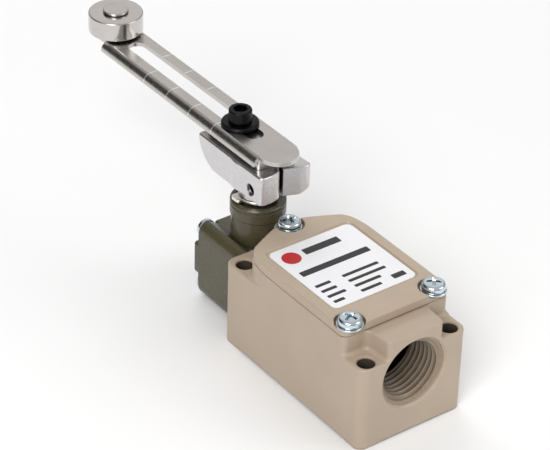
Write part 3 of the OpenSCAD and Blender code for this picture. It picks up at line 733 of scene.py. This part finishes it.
def make_head():
    outline = head_outline()
    to = (0, 0, HEAD_MID)
    body = prism("head_body", outline, HEAD_Y0, BODY_END, 0.15, 0.7, 4, "y", to)
    inside = BODY_END - 3
    across = rounded(-HEAD_HALF, -5.6, HEAD_HALF, 5.6, 1.0, 4)
    wide = prism("wide", across, inside, HEAD_END, 0, 0.7, 4, "y", to)
    upright = rounded(-5.9, -10.4, 5.9, 10.4, 1.0, 4)
    tall = prism("tall", upright, inside, HEAD_END, 0, 0.7, 4, "y", to)
    fillet = 0.9
    profile = [(BOSS_R + fillet, -6), (BOSS_R + fillet, -0.05)]
    for i in range(6):
        a = math.pi / 2 * i / 5
        profile.append((BOSS_R + fillet * (1 - math.sin(a)), fillet * (1 - math.cos(a)) - 0.05))
    profile += [(BOSS_R, 9.4), (COLLAR_R, 9.9), (COLLAR_R, 12.9), (8.40, 13.05), (8.40, 13.3),
                (COLLAR_R, 13.45), (COLLAR_R, 14.15), (8.30, 14.55), (7.2, 14.55)]
    boss = lathe("boss", profile, (0, SHAFT_Y, HEAD_TOP), "z", segments=96)
    fuse(body, wide, tall, boss)
    at = (0, SHAFT_Y, 0)
    tools = [
        box("chamber", -8.2, HEAD_Y0 - 1, HEAD_MID - 7.8, 8.2, 53.4, HEAD_MID + 7.8),
        rod("bush_bore", 5.5, 20, 40, at),
        rod("journal", 3.04, 4.4, 8.4, at),
        rod("mouth", 7.2, 38.4, 40, at, segments=72),
    ]
    for sx in (-1, 1):
        for sz in (-1, 1):
            at = (sx * POST_AT, 0, HEAD_MID + sz * POST_AT)
            tools.append(rod("screw_bore", 1.9, 30, 60, at, "y"))
    carve(body, *tools)
    soften(body, 0.3, 3, 34)
    dress(body, HEAD, "housing", "head_paint", "head_casting")


def make_head_screws():
    parts = []
    for sx in (-1, 1):
        for sz in (-1, 1):
            at = (sx * POST_AT, BODY_END, HEAD_MID + sz * POST_AT)
            turn = math.radians(15 + 20 * sx + 31 * sz)
            parts.append(pan_screw("head", 3.0, 2.2, at, "y", turn, 2.0, 1.4))
            parts.append(rod("shank", 1.7, 28 - BODY_END, 0.2, at, "y"))
    dress(merged("head_screw_set", parts), ZINC, "housing", "zinc_screw", "head_screws")


# ----------------------------------------------------------------------- lever

clamp_low, clamp_high = cad("lever_clamp")
CLAMP_Z0, CLAMP_Z1 = 45.0, 54.8
CLAMP_FRONT, CLAMP_FAR = 31.0, 63.6
BOLT_Y, BOLT_Z = 36.4, 48.5
ARM_BOLT_Y = 54.0


def clamp_outline():
    """Two unlike jaws at the bolt end, and a bulge on each side round the shaft."""
    rear = [(8.8, 40.6)] + arc(0, SHAFT_Y, 9.2, -16.5, 16.5, 14) + [(8.8, 47.2)]
    rear += arc(7.8, CLAMP_FAR - 1.0, 1.0, 0, 90, 5)
    thread_jaw = smoothed([(0.0, 33.4), (0.6, 33.2), (0.9, 32.3), (2.0, 31.6), (4.6, CLAMP_FRONT)])
    thread_jaw += arc(7.2, CLAMP_FRONT + 1.5, 1.5, 270, 350, 6)
    head_jaw = smoothed([(0.4, 32.2), (3.0, 31.3), (5.6, 30.2), (7.2, 30.0)])
    head_jaw += arc(8.0, CLAMP_FRONT + 0.3, 1.3, 285, 350, 6)
    left = [(-x, y) for x, y in reversed(thread_jaw + rear)]
    return tidy_outline(head_jaw + rear + left)


def make_clamp():
    body = prism("clamp_body", clamp_outline(), CLAMP_Z0, CLAMP_Z1, 0.5, 0.7, 4)
    rib = prism("rib", rounded(-6.6, 35.4, 6.6, 61.6, 1.2, 5), CLAMP_Z1 - 2, clamp_high.z, 0, 0.25, 2)
    hub = lathe("hub", [(5.7, clamp_low.z), (6.0, clamp_low.z + 0.3), (6.0, CLAMP_Z0 + 1)],
                (0, SHAFT_Y, 0), segments=72)
    fuse(body, rib, hub)
    belly = smoothed([(52.5, CLAMP_Z0), (54.5, CLAMP_Z0), (55.8, 45.3), (58.9, 47.1), (60.3, 48.4),
                      (61.9, 50.4), (62.7, 52.4), (63.2, CLAMP_Z1 + 0.3)], 1)
    wedge = prism("wedge", belly + [(66, CLAMP_Z1 + 0.3), (66, 42), (52.5, 42)], -10, 10, axis="x")
    slope = [(4.5, 43), (9.8, 43), (9.8, CLAMP_Z0 + 2.3), (4.5, CLAMP_Z0)]
    cheek = prism("cheek", slope, 27, 41, axis="y")
    at = (0, BOLT_Y, BOLT_Z)
    ridges = [(r, -8.3 + 0.7 * i + step) for i in range(4) for r, step in ((1.62, 0.0), (1.85, 0.35))]
    tools = [
        wedge,
        cheek,
        rod("shaft_bore", SHAFT_R, clamp_low.z - 1, 56, (0, SHAFT_Y, 0)),
        box("split", -0.4, 25, clamp_low.z - 1, 0.4, SHAFT_Y, 60),
        lathe("tapped", [(2.2, -10), (2.2, -8.85), (1.85, -8.5)] + ridges + [(M4_CORE_R, 2)], at, "x"),
        rod("clear", M4_CLEAR_R, 0, 12, at, "x"),
        rod("seat", 3.8, 3.6, 12, at, "x"),
        rod("arm_tap", M4_CORE_R, 47, 62, (0, ARM_BOLT_Y, 0)),
    ]
    carve(body, *tools)
    soften(body, 0.3, 3, 34)
    dress(body, NICKEL, "lever", "clamp_metal", "lever_clamp")
    # faces inside the tapped hole take the dark metal: painted shade in the hole
    body.data.materials.append(TAPPED_SHADE)
    for face in body.data.polygons:
        x, y, z = face.center / MM
        if -8.7 < x < 0 and math.hypot(y - BOLT_Y, z - BOLT_Z) < 1.88:
            face.material_index = 1


def socket_bolt(name, centre, axis, shank):
    r, height = 3.6, 4.1
    socket_r, socket_depth = 2.3, 2.2
    to = placed(axis, centre)
    flutes = 40

    def ring(radius, h, groove=0.0):
        points = []
        for i in range(flutes * 3):
            a = 2 * math.pi * i / (flutes * 3)
            here = radius - groove * (i % 3 == 0)
            points.append(to(here * math.cos(a), here * math.sin(a), h))
        return points
    head = loft(name, [ring(r - 0.25, 0), ring(r, 0.2), ring(r, 0.55), ring(r, 0.7, 0.1),
                       ring(r, height - 1.0, 0.1), ring(r, height - 0.85), ring(r, height - 0.45),
                       ring(r - 0.12, height - 0.18), ring(r - 0.42, height)])
    corners = [math.radians(60 * i + 10) for i in range(6)]
    rings = [[to(socket_r * math.cos(a), socket_r * math.sin(a), h) for a in corners]
             for h in (height - socket_depth, height + 1)]
    carve(head, loft("hexagon", rings))
    soften(head, 0.07, 2, 50)
    return merged(name, [head, rod("shank", 1.6, -shank, 0.1, centre, axis)])


def make_bolts():
    bolt_low, _ = cad("arm_bolt")
    washer_low, washer_high = cad("arm_washer")
    bolt = socket_bolt("arm_bolt_body", (0, ARM_BOLT_Y, washer_high.z), "z", washer_high.z - bolt_low.z)
    dress(bolt, BLACK, "lever", "black_oxide", "arm_bolt")
    r, t = washer_high.x, washer_high.z - washer_low.z
    section = [(2.1, 0), (r - 0.15, 0), (r, 0.15), (r, t - 0.55), (r - 0.16, t - 0.2), (r - 0.55, t),
               (2.1, t)]
    washer = lathe("arm_washer_body", section, (0, ARM_BOLT_Y, washer_low.z), ring=True)
    dress(shade(washer, 50), BLACK, "lever", "black_oxide", "arm_washer")
    seat, _ = cad("clamp_lock_washer")
    clamp_bolt = socket_bolt("clamp_bolt_body", (seat.x + 1.0, BOLT_Y, BOLT_Z), "x", 12)
    dress(clamp_bolt, BLACK, "lever", "black_oxide", "clamp_bolt")


def make_indicator():
    low, high = cad("position_indicator")
    t = high.z - low.z
    disc = lathe("indicator_body", [(6.0, 0), (6.2, 0.2), (6.2, t - 0.25), (5.95, t)], (0, SHAFT_Y, low.z))
    tab_outline = rounded(low.x + 0.5, SHAFT_Y - 0.6, -4.4, SHAFT_Y + 3.4, 0.9, 4)
    tab = prism("tab", tab_outline, low.z, high.z, 0.15, 0.2, 2)
    fuse(disc, tab)
    carve(disc, rod("bore", SHAFT_R, -2, 4, (0, SHAFT_Y, low.z)))
    soften(disc, 0.1, 2)
    dress(disc, TAB, "lever", "clamp_metal", "position_indicator")


# ------------------------------------------------------------------------- arm

arm_low, arm_high = cad("slotted_arm")
ARM_TOP = arm_high.z
ARM_T = 1.3
ARM_HALF = 8.2
LIP = 3.0
BEND = 2.75
LIP_Y0, LIP_Y1 = 35.6, 118.6
SLOT_Y0, SLOT_Y1, SLOT_HALF = 46.7, 109.8, 2.85
END_R = 6.15
END_Y0 = arm_low.y + END_R
ROLLER_Y = 122.5
PIN_R, PIN_HOLE_R = 3.0, 2.5
MARKS_A_SIDE, MARK_PITCH, MARK_HALF_W, MARK_PROUD = 4, 12.1, 0.2, 0.012
FIRST_MARK = {-1: 57.9, 1: 64.0}


def arm_skin(depth, n=10):
    """The outside of the arm's section, sunk by depth, from one open edge to the other."""
    right = [(ARM_HALF - depth, -LIP)] + arc(ARM_HALF - BEND, -BEND, BEND - depth, 0, 90, n)
    return right + [(-x, z) for x, z in reversed(right)]


def arm_section():
    inner_r = BEND - ARM_T
    right = [(ARM_HALF - ARM_T, -LIP)] + arc(ARM_HALF - BEND, -BEND, inner_r, 0, 90, 8)
    inner = right + [(-x, z) for x, z in reversed(right)]
    return arm_skin(0) + list(reversed(inner))


def make_arm():
    channel = prism("arm_body", arm_section(), LIP_Y0, LIP_Y1, axis="y", centre=(0, 0, ARM_TOP))
    under = ARM_TOP - ARM_T
    plate_outline = (arc(0, ROLLER_Y, END_R, 0, 180, 28) + arc(0, END_Y0, END_R, 180, 360, 28))
    plate = prism("plate", plate_outline, under, ARM_TOP)
    fuse(channel, plate)
    slot_outline = arc(0, SLOT_Y1, SLOT_HALF, 0, 180, 20) + arc(0, SLOT_Y0, SLOT_HALF, 180, 360, 20)
    slot = prism("slot", slot_outline, under - 1, ARM_TOP + 1)
    pin_hole = rod("pin_hole", PIN_HOLE_R, under - 1, ARM_TOP + 1, (0, ROLLER_Y, 0))
    carve(channel, slot, pin_hole)
    soften(channel, 0.16, 2, 30)
    dress(channel, STEEL, "arm", "arm_steel", "slotted_arm")
    strips = []
    for side, first in FIRST_MARK.items():
        skin = arm_skin(-MARK_PROUD, 12)
        line = [(side * x, z) for x, z in skin if x > SLOT_HALF - 0.5 and z > -BEND * 0.9]
        line.append((side * (SLOT_HALF + 0.35), MARK_PROUD))
        inner = [(x * 0.985 if abs(x) > 6 else x, z - 0.06) for x, z in line]
        for i in range(MARKS_A_SIDE):
            y = first + MARK_PITCH * i
            rings = []
            for h in (y - MARK_HALF_W, y + MARK_HALF_W):
                rings.append([(x, h, ARM_TOP + z) for x, z in line + list(reversed(inner))])
            strips.append(loft("strip", rings))
    marks = merged("arm_marks", strips)
    dress(shade(marks, 50), MARK, "arm", "arm_steel")


def make_roller():
    low, high = cad("roller")
    r, t = high.x, high.z - low.z
    bore = PIN_R + 0.06
    profile = [(bore, 0.0), (r - 0.55, 0.0), (r - 0.2, 0.1), (r, 0.4), (r, t - 0.4), (r - 0.1, t - 0.18),
               (r - 0.32, t - 0.02), (r - 0.6, t), (bore, t)]
    wheel = lathe("roller_body", profile, (0, ROLLER_Y, low.z), ring=True, segments=128)
    turned = turned_metal("turned_steel", [0.60, 0.575, 0.555], 0.17, (0, ROLLER_Y))
    dress(shade(wheel, 60), turned, "roller", "roller_steel", "roller")


def make_roller_pin():
    low, high = cad("roller_pin")
    under = ARM_TOP - ARM_T
    head = high.z - 0.9
    profile = [(3.0, low.z), (3.4, low.z + 0.25), (3.55, under - 0.1), (PIN_HOLE_R, under),
               (PIN_HOLE_R, ARM_TOP), (PIN_R, ARM_TOP + 0.02), (PIN_R, head), (3.7, head + 0.02),
               (3.95, head + 0.12), (4.05, head + 0.3), (4.05, head + 0.66), (3.98, head + 0.8),
               (3.82, head + 0.88), (3.6, head + 0.9), (0.5, head + 0.9)]
    pin = lathe("roller_pin_body", profile, (0, ROLLER_Y, 0), segments=96)
    turned = turned_metal("turned_pin", [0.58, 0.56, 0.54], 0.22, (0, ROLLER_Y))
    dress(shade(pin, 50), turned, "arm", "roller_steel", "roller_pin")


# ---------------------------------------------------------------- inside parts

INSIDE = {
    RUBBER: ["cover_gasket", "head_gasket", "shaft_seal"],
    BRONZE: ["shaft_bushing", "plunger_bush"],
    GROUND: ["rotary_shaft", "drive_cam", "clamp_lock_washer", "roller_spacer", "drive_plunger"],
    PHENOLIC: ["module_base"],
    RED: ["module_lid"],
    ZINC: ["module_screws", "terminal_screws", "ground_screw"],
    BRASS: ["no_contacts", "nc_contacts", "terminal_clamps", "contact_bridge"],
    ACETAL: ["module_plunger"],
}


def dress_inside():
    for material, nodes in INSIDE.items():
        for node in nodes:
            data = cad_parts[node].data
            data.materials.clear()
            data.materials.append(material)


def make_spring(node):
    """A copy of the CAD coil, in spring steel, standing in for its node."""
    spring = bpy.data.objects.new(node + "_coil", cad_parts[node].data.copy())
    scene.collection.objects.link(spring)
    dress(shade(spring, 60), SPRING, "housing", "spring_steel", node)
    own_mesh(spring)


# ----------------------------------------------------------- camera and lights

def aim(obj, at):
    obj.rotation_euler = (Vector(at) - obj.location).to_track_quat("-Z", "Y").to_euler()


def make_camera():
    azimuth, elevation, roll = math.radians(-37.07), math.radians(33.68), math.radians(1.77)
    target, distance = Vector((-75.24, -64.51, 116.67)), 570.02
    back = Vector((math.sin(azimuth) * math.cos(elevation), -math.cos(azimuth) * math.cos(elevation),
                   math.sin(elevation)))
    right = (-back).cross(Vector((0, 0, 1))).normalized()
    up = right.cross(-back).normalized()
    cam_x = right * math.cos(roll) + up * math.sin(roll)
    cam_y = up * math.cos(roll) - right * math.sin(roll)
    place = (target + back * distance) * MM
    turn = Matrix((cam_x, cam_y, back)).transposed()
    data = bpy.data.cameras.new("camera")
    data.sensor_width, data.lens = 36.0, 156.42
    data.clip_start, data.clip_end = 0.05, 20.0
    camera = bpy.data.objects.new("camera", data)
    camera.matrix_world = Matrix.Translation(place) @ turn.to_4x4()
    scene.collection.objects.link(camera)
    scene.camera = camera


def area_light(name, place, at, size, power, mirrored=True):
    data = bpy.data.lights.new(name, "AREA")
    data.shape, data.size, data.size_y = "RECTANGLE", size[0], size[1]
    data.energy = power
    light = bpy.data.objects.new(name, data)
    light.location = place
    light.visible_glossy = mirrored
    scene.collection.objects.link(light)
    aim(light, at)


def make_sky():
    """A pale sky, darker to one side and brighter where the arm's top mirrors it."""
    world = bpy.data.worlds.new("studio")
    world.use_nodes = True
    nodes, links = world.node_tree.nodes, world.node_tree.links
    where = nodes.new("ShaderNodeTexCoord").outputs["Generated"]
    split = nodes.new("ShaderNodeSeparateXYZ")
    ramp = nodes.new("ShaderNodeValToRGB")
    links.new(where, split.inputs["Vector"])
    links.new(split.outputs["Z"], ramp.inputs["Fac"])
    low, high = ramp.color_ramp.elements
    low.position, low.color = 0.0, (0.50, 0.50, 0.50, 1)
    high.position, high.color = 0.7, (1.0, 1.0, 1.0, 1)
    colour = ramp.outputs["Color"]

    def patch(under, direction, start, full, shade_of):
        """Lays a soft round patch over the sky; start and full are cosines from its middle."""
        toward = nodes.new("ShaderNodeVectorMath")
        toward.operation = "DOT_PRODUCT"
        toward.inputs[1].default_value = Vector(direction).normalized()
        links.new(where, toward.inputs[0])
        near = nodes.new("ShaderNodeMapRange")
        near.interpolation_type = "SMOOTHSTEP"
        near.inputs["From Min"].default_value, near.inputs["From Max"].default_value = start, full
        links.new(toward.outputs["Value"], near.inputs["Value"])
        laid = nodes.new("ShaderNodeMix")
        laid.data_type = "RGBA"
        laid.inputs["B"].default_value = (*shade_of, 1)
        links.new(under, laid.inputs["A"])
        links.new(near.outputs["Result"], laid.inputs["Factor"])
        return laid.outputs["Result"]

    colour = patch(colour, (-0.58, 0.66, 0.47), 0.78, 0.99, (0.06, 0.055, 0.05))
    colour = patch(colour, (0.52, 0.64, 0.56), 0.86, 0.98, (1.45, 1.42, 1.40))
    links.new(colour, nodes["Background"].inputs["Color"])
    nodes["Background"].inputs["Strength"].default_value = 0.56
    scene.world = world


def make_studio():
    floor_mesh = bpy.data.meshes.new("floor")
    reach = 6.0
    corners = [(-reach, -reach, 0), (reach, -reach, 0), (reach, reach, 0), (-reach, reach, 0)]
    floor_mesh.from_pydata(corners, [], [(0, 1, 2, 3)])
    floor = bpy.data.objects.new("floor", floor_mesh)
    scene.collection.objects.link(floor)
    f = Finish("floor_paper", [0.90, 0.90, 0.90], 0.0, 0.85)
    f.mottle(0.01, 0.01)
    f.bump(f.noise(0.5, 2), 0.02, 0.1)
    floor.data.materials.append(f.done())
    make_sky()
    area_light("key", (-1.1, -0.7, 1.2), (0, 0, 0.02), (0.9, 0.9), 19)
    area_light("fill", (0.9, -0.9, 0.8), (0, 0, 0.02), (0.8, 0.8), 4)
    area_light("rim", (0.3, 1.1, 1.0), (0, 0.05, 0.04), (0.9, 0.5), 6, mirrored=False)
    scene.view_settings.view_transform = "Standard"


make_camera()
make_studio()
make_box()
make_thread()
make_cover()
make_cover_screws()
make_label()
make_head()
make_head_screws()
make_clamp()
make_bolts()
make_indicator()
make_arm()
make_roller()
make_roller_pin()
dress_inside()
make_spring("plunger_spring")
make_spring("contact_spring")
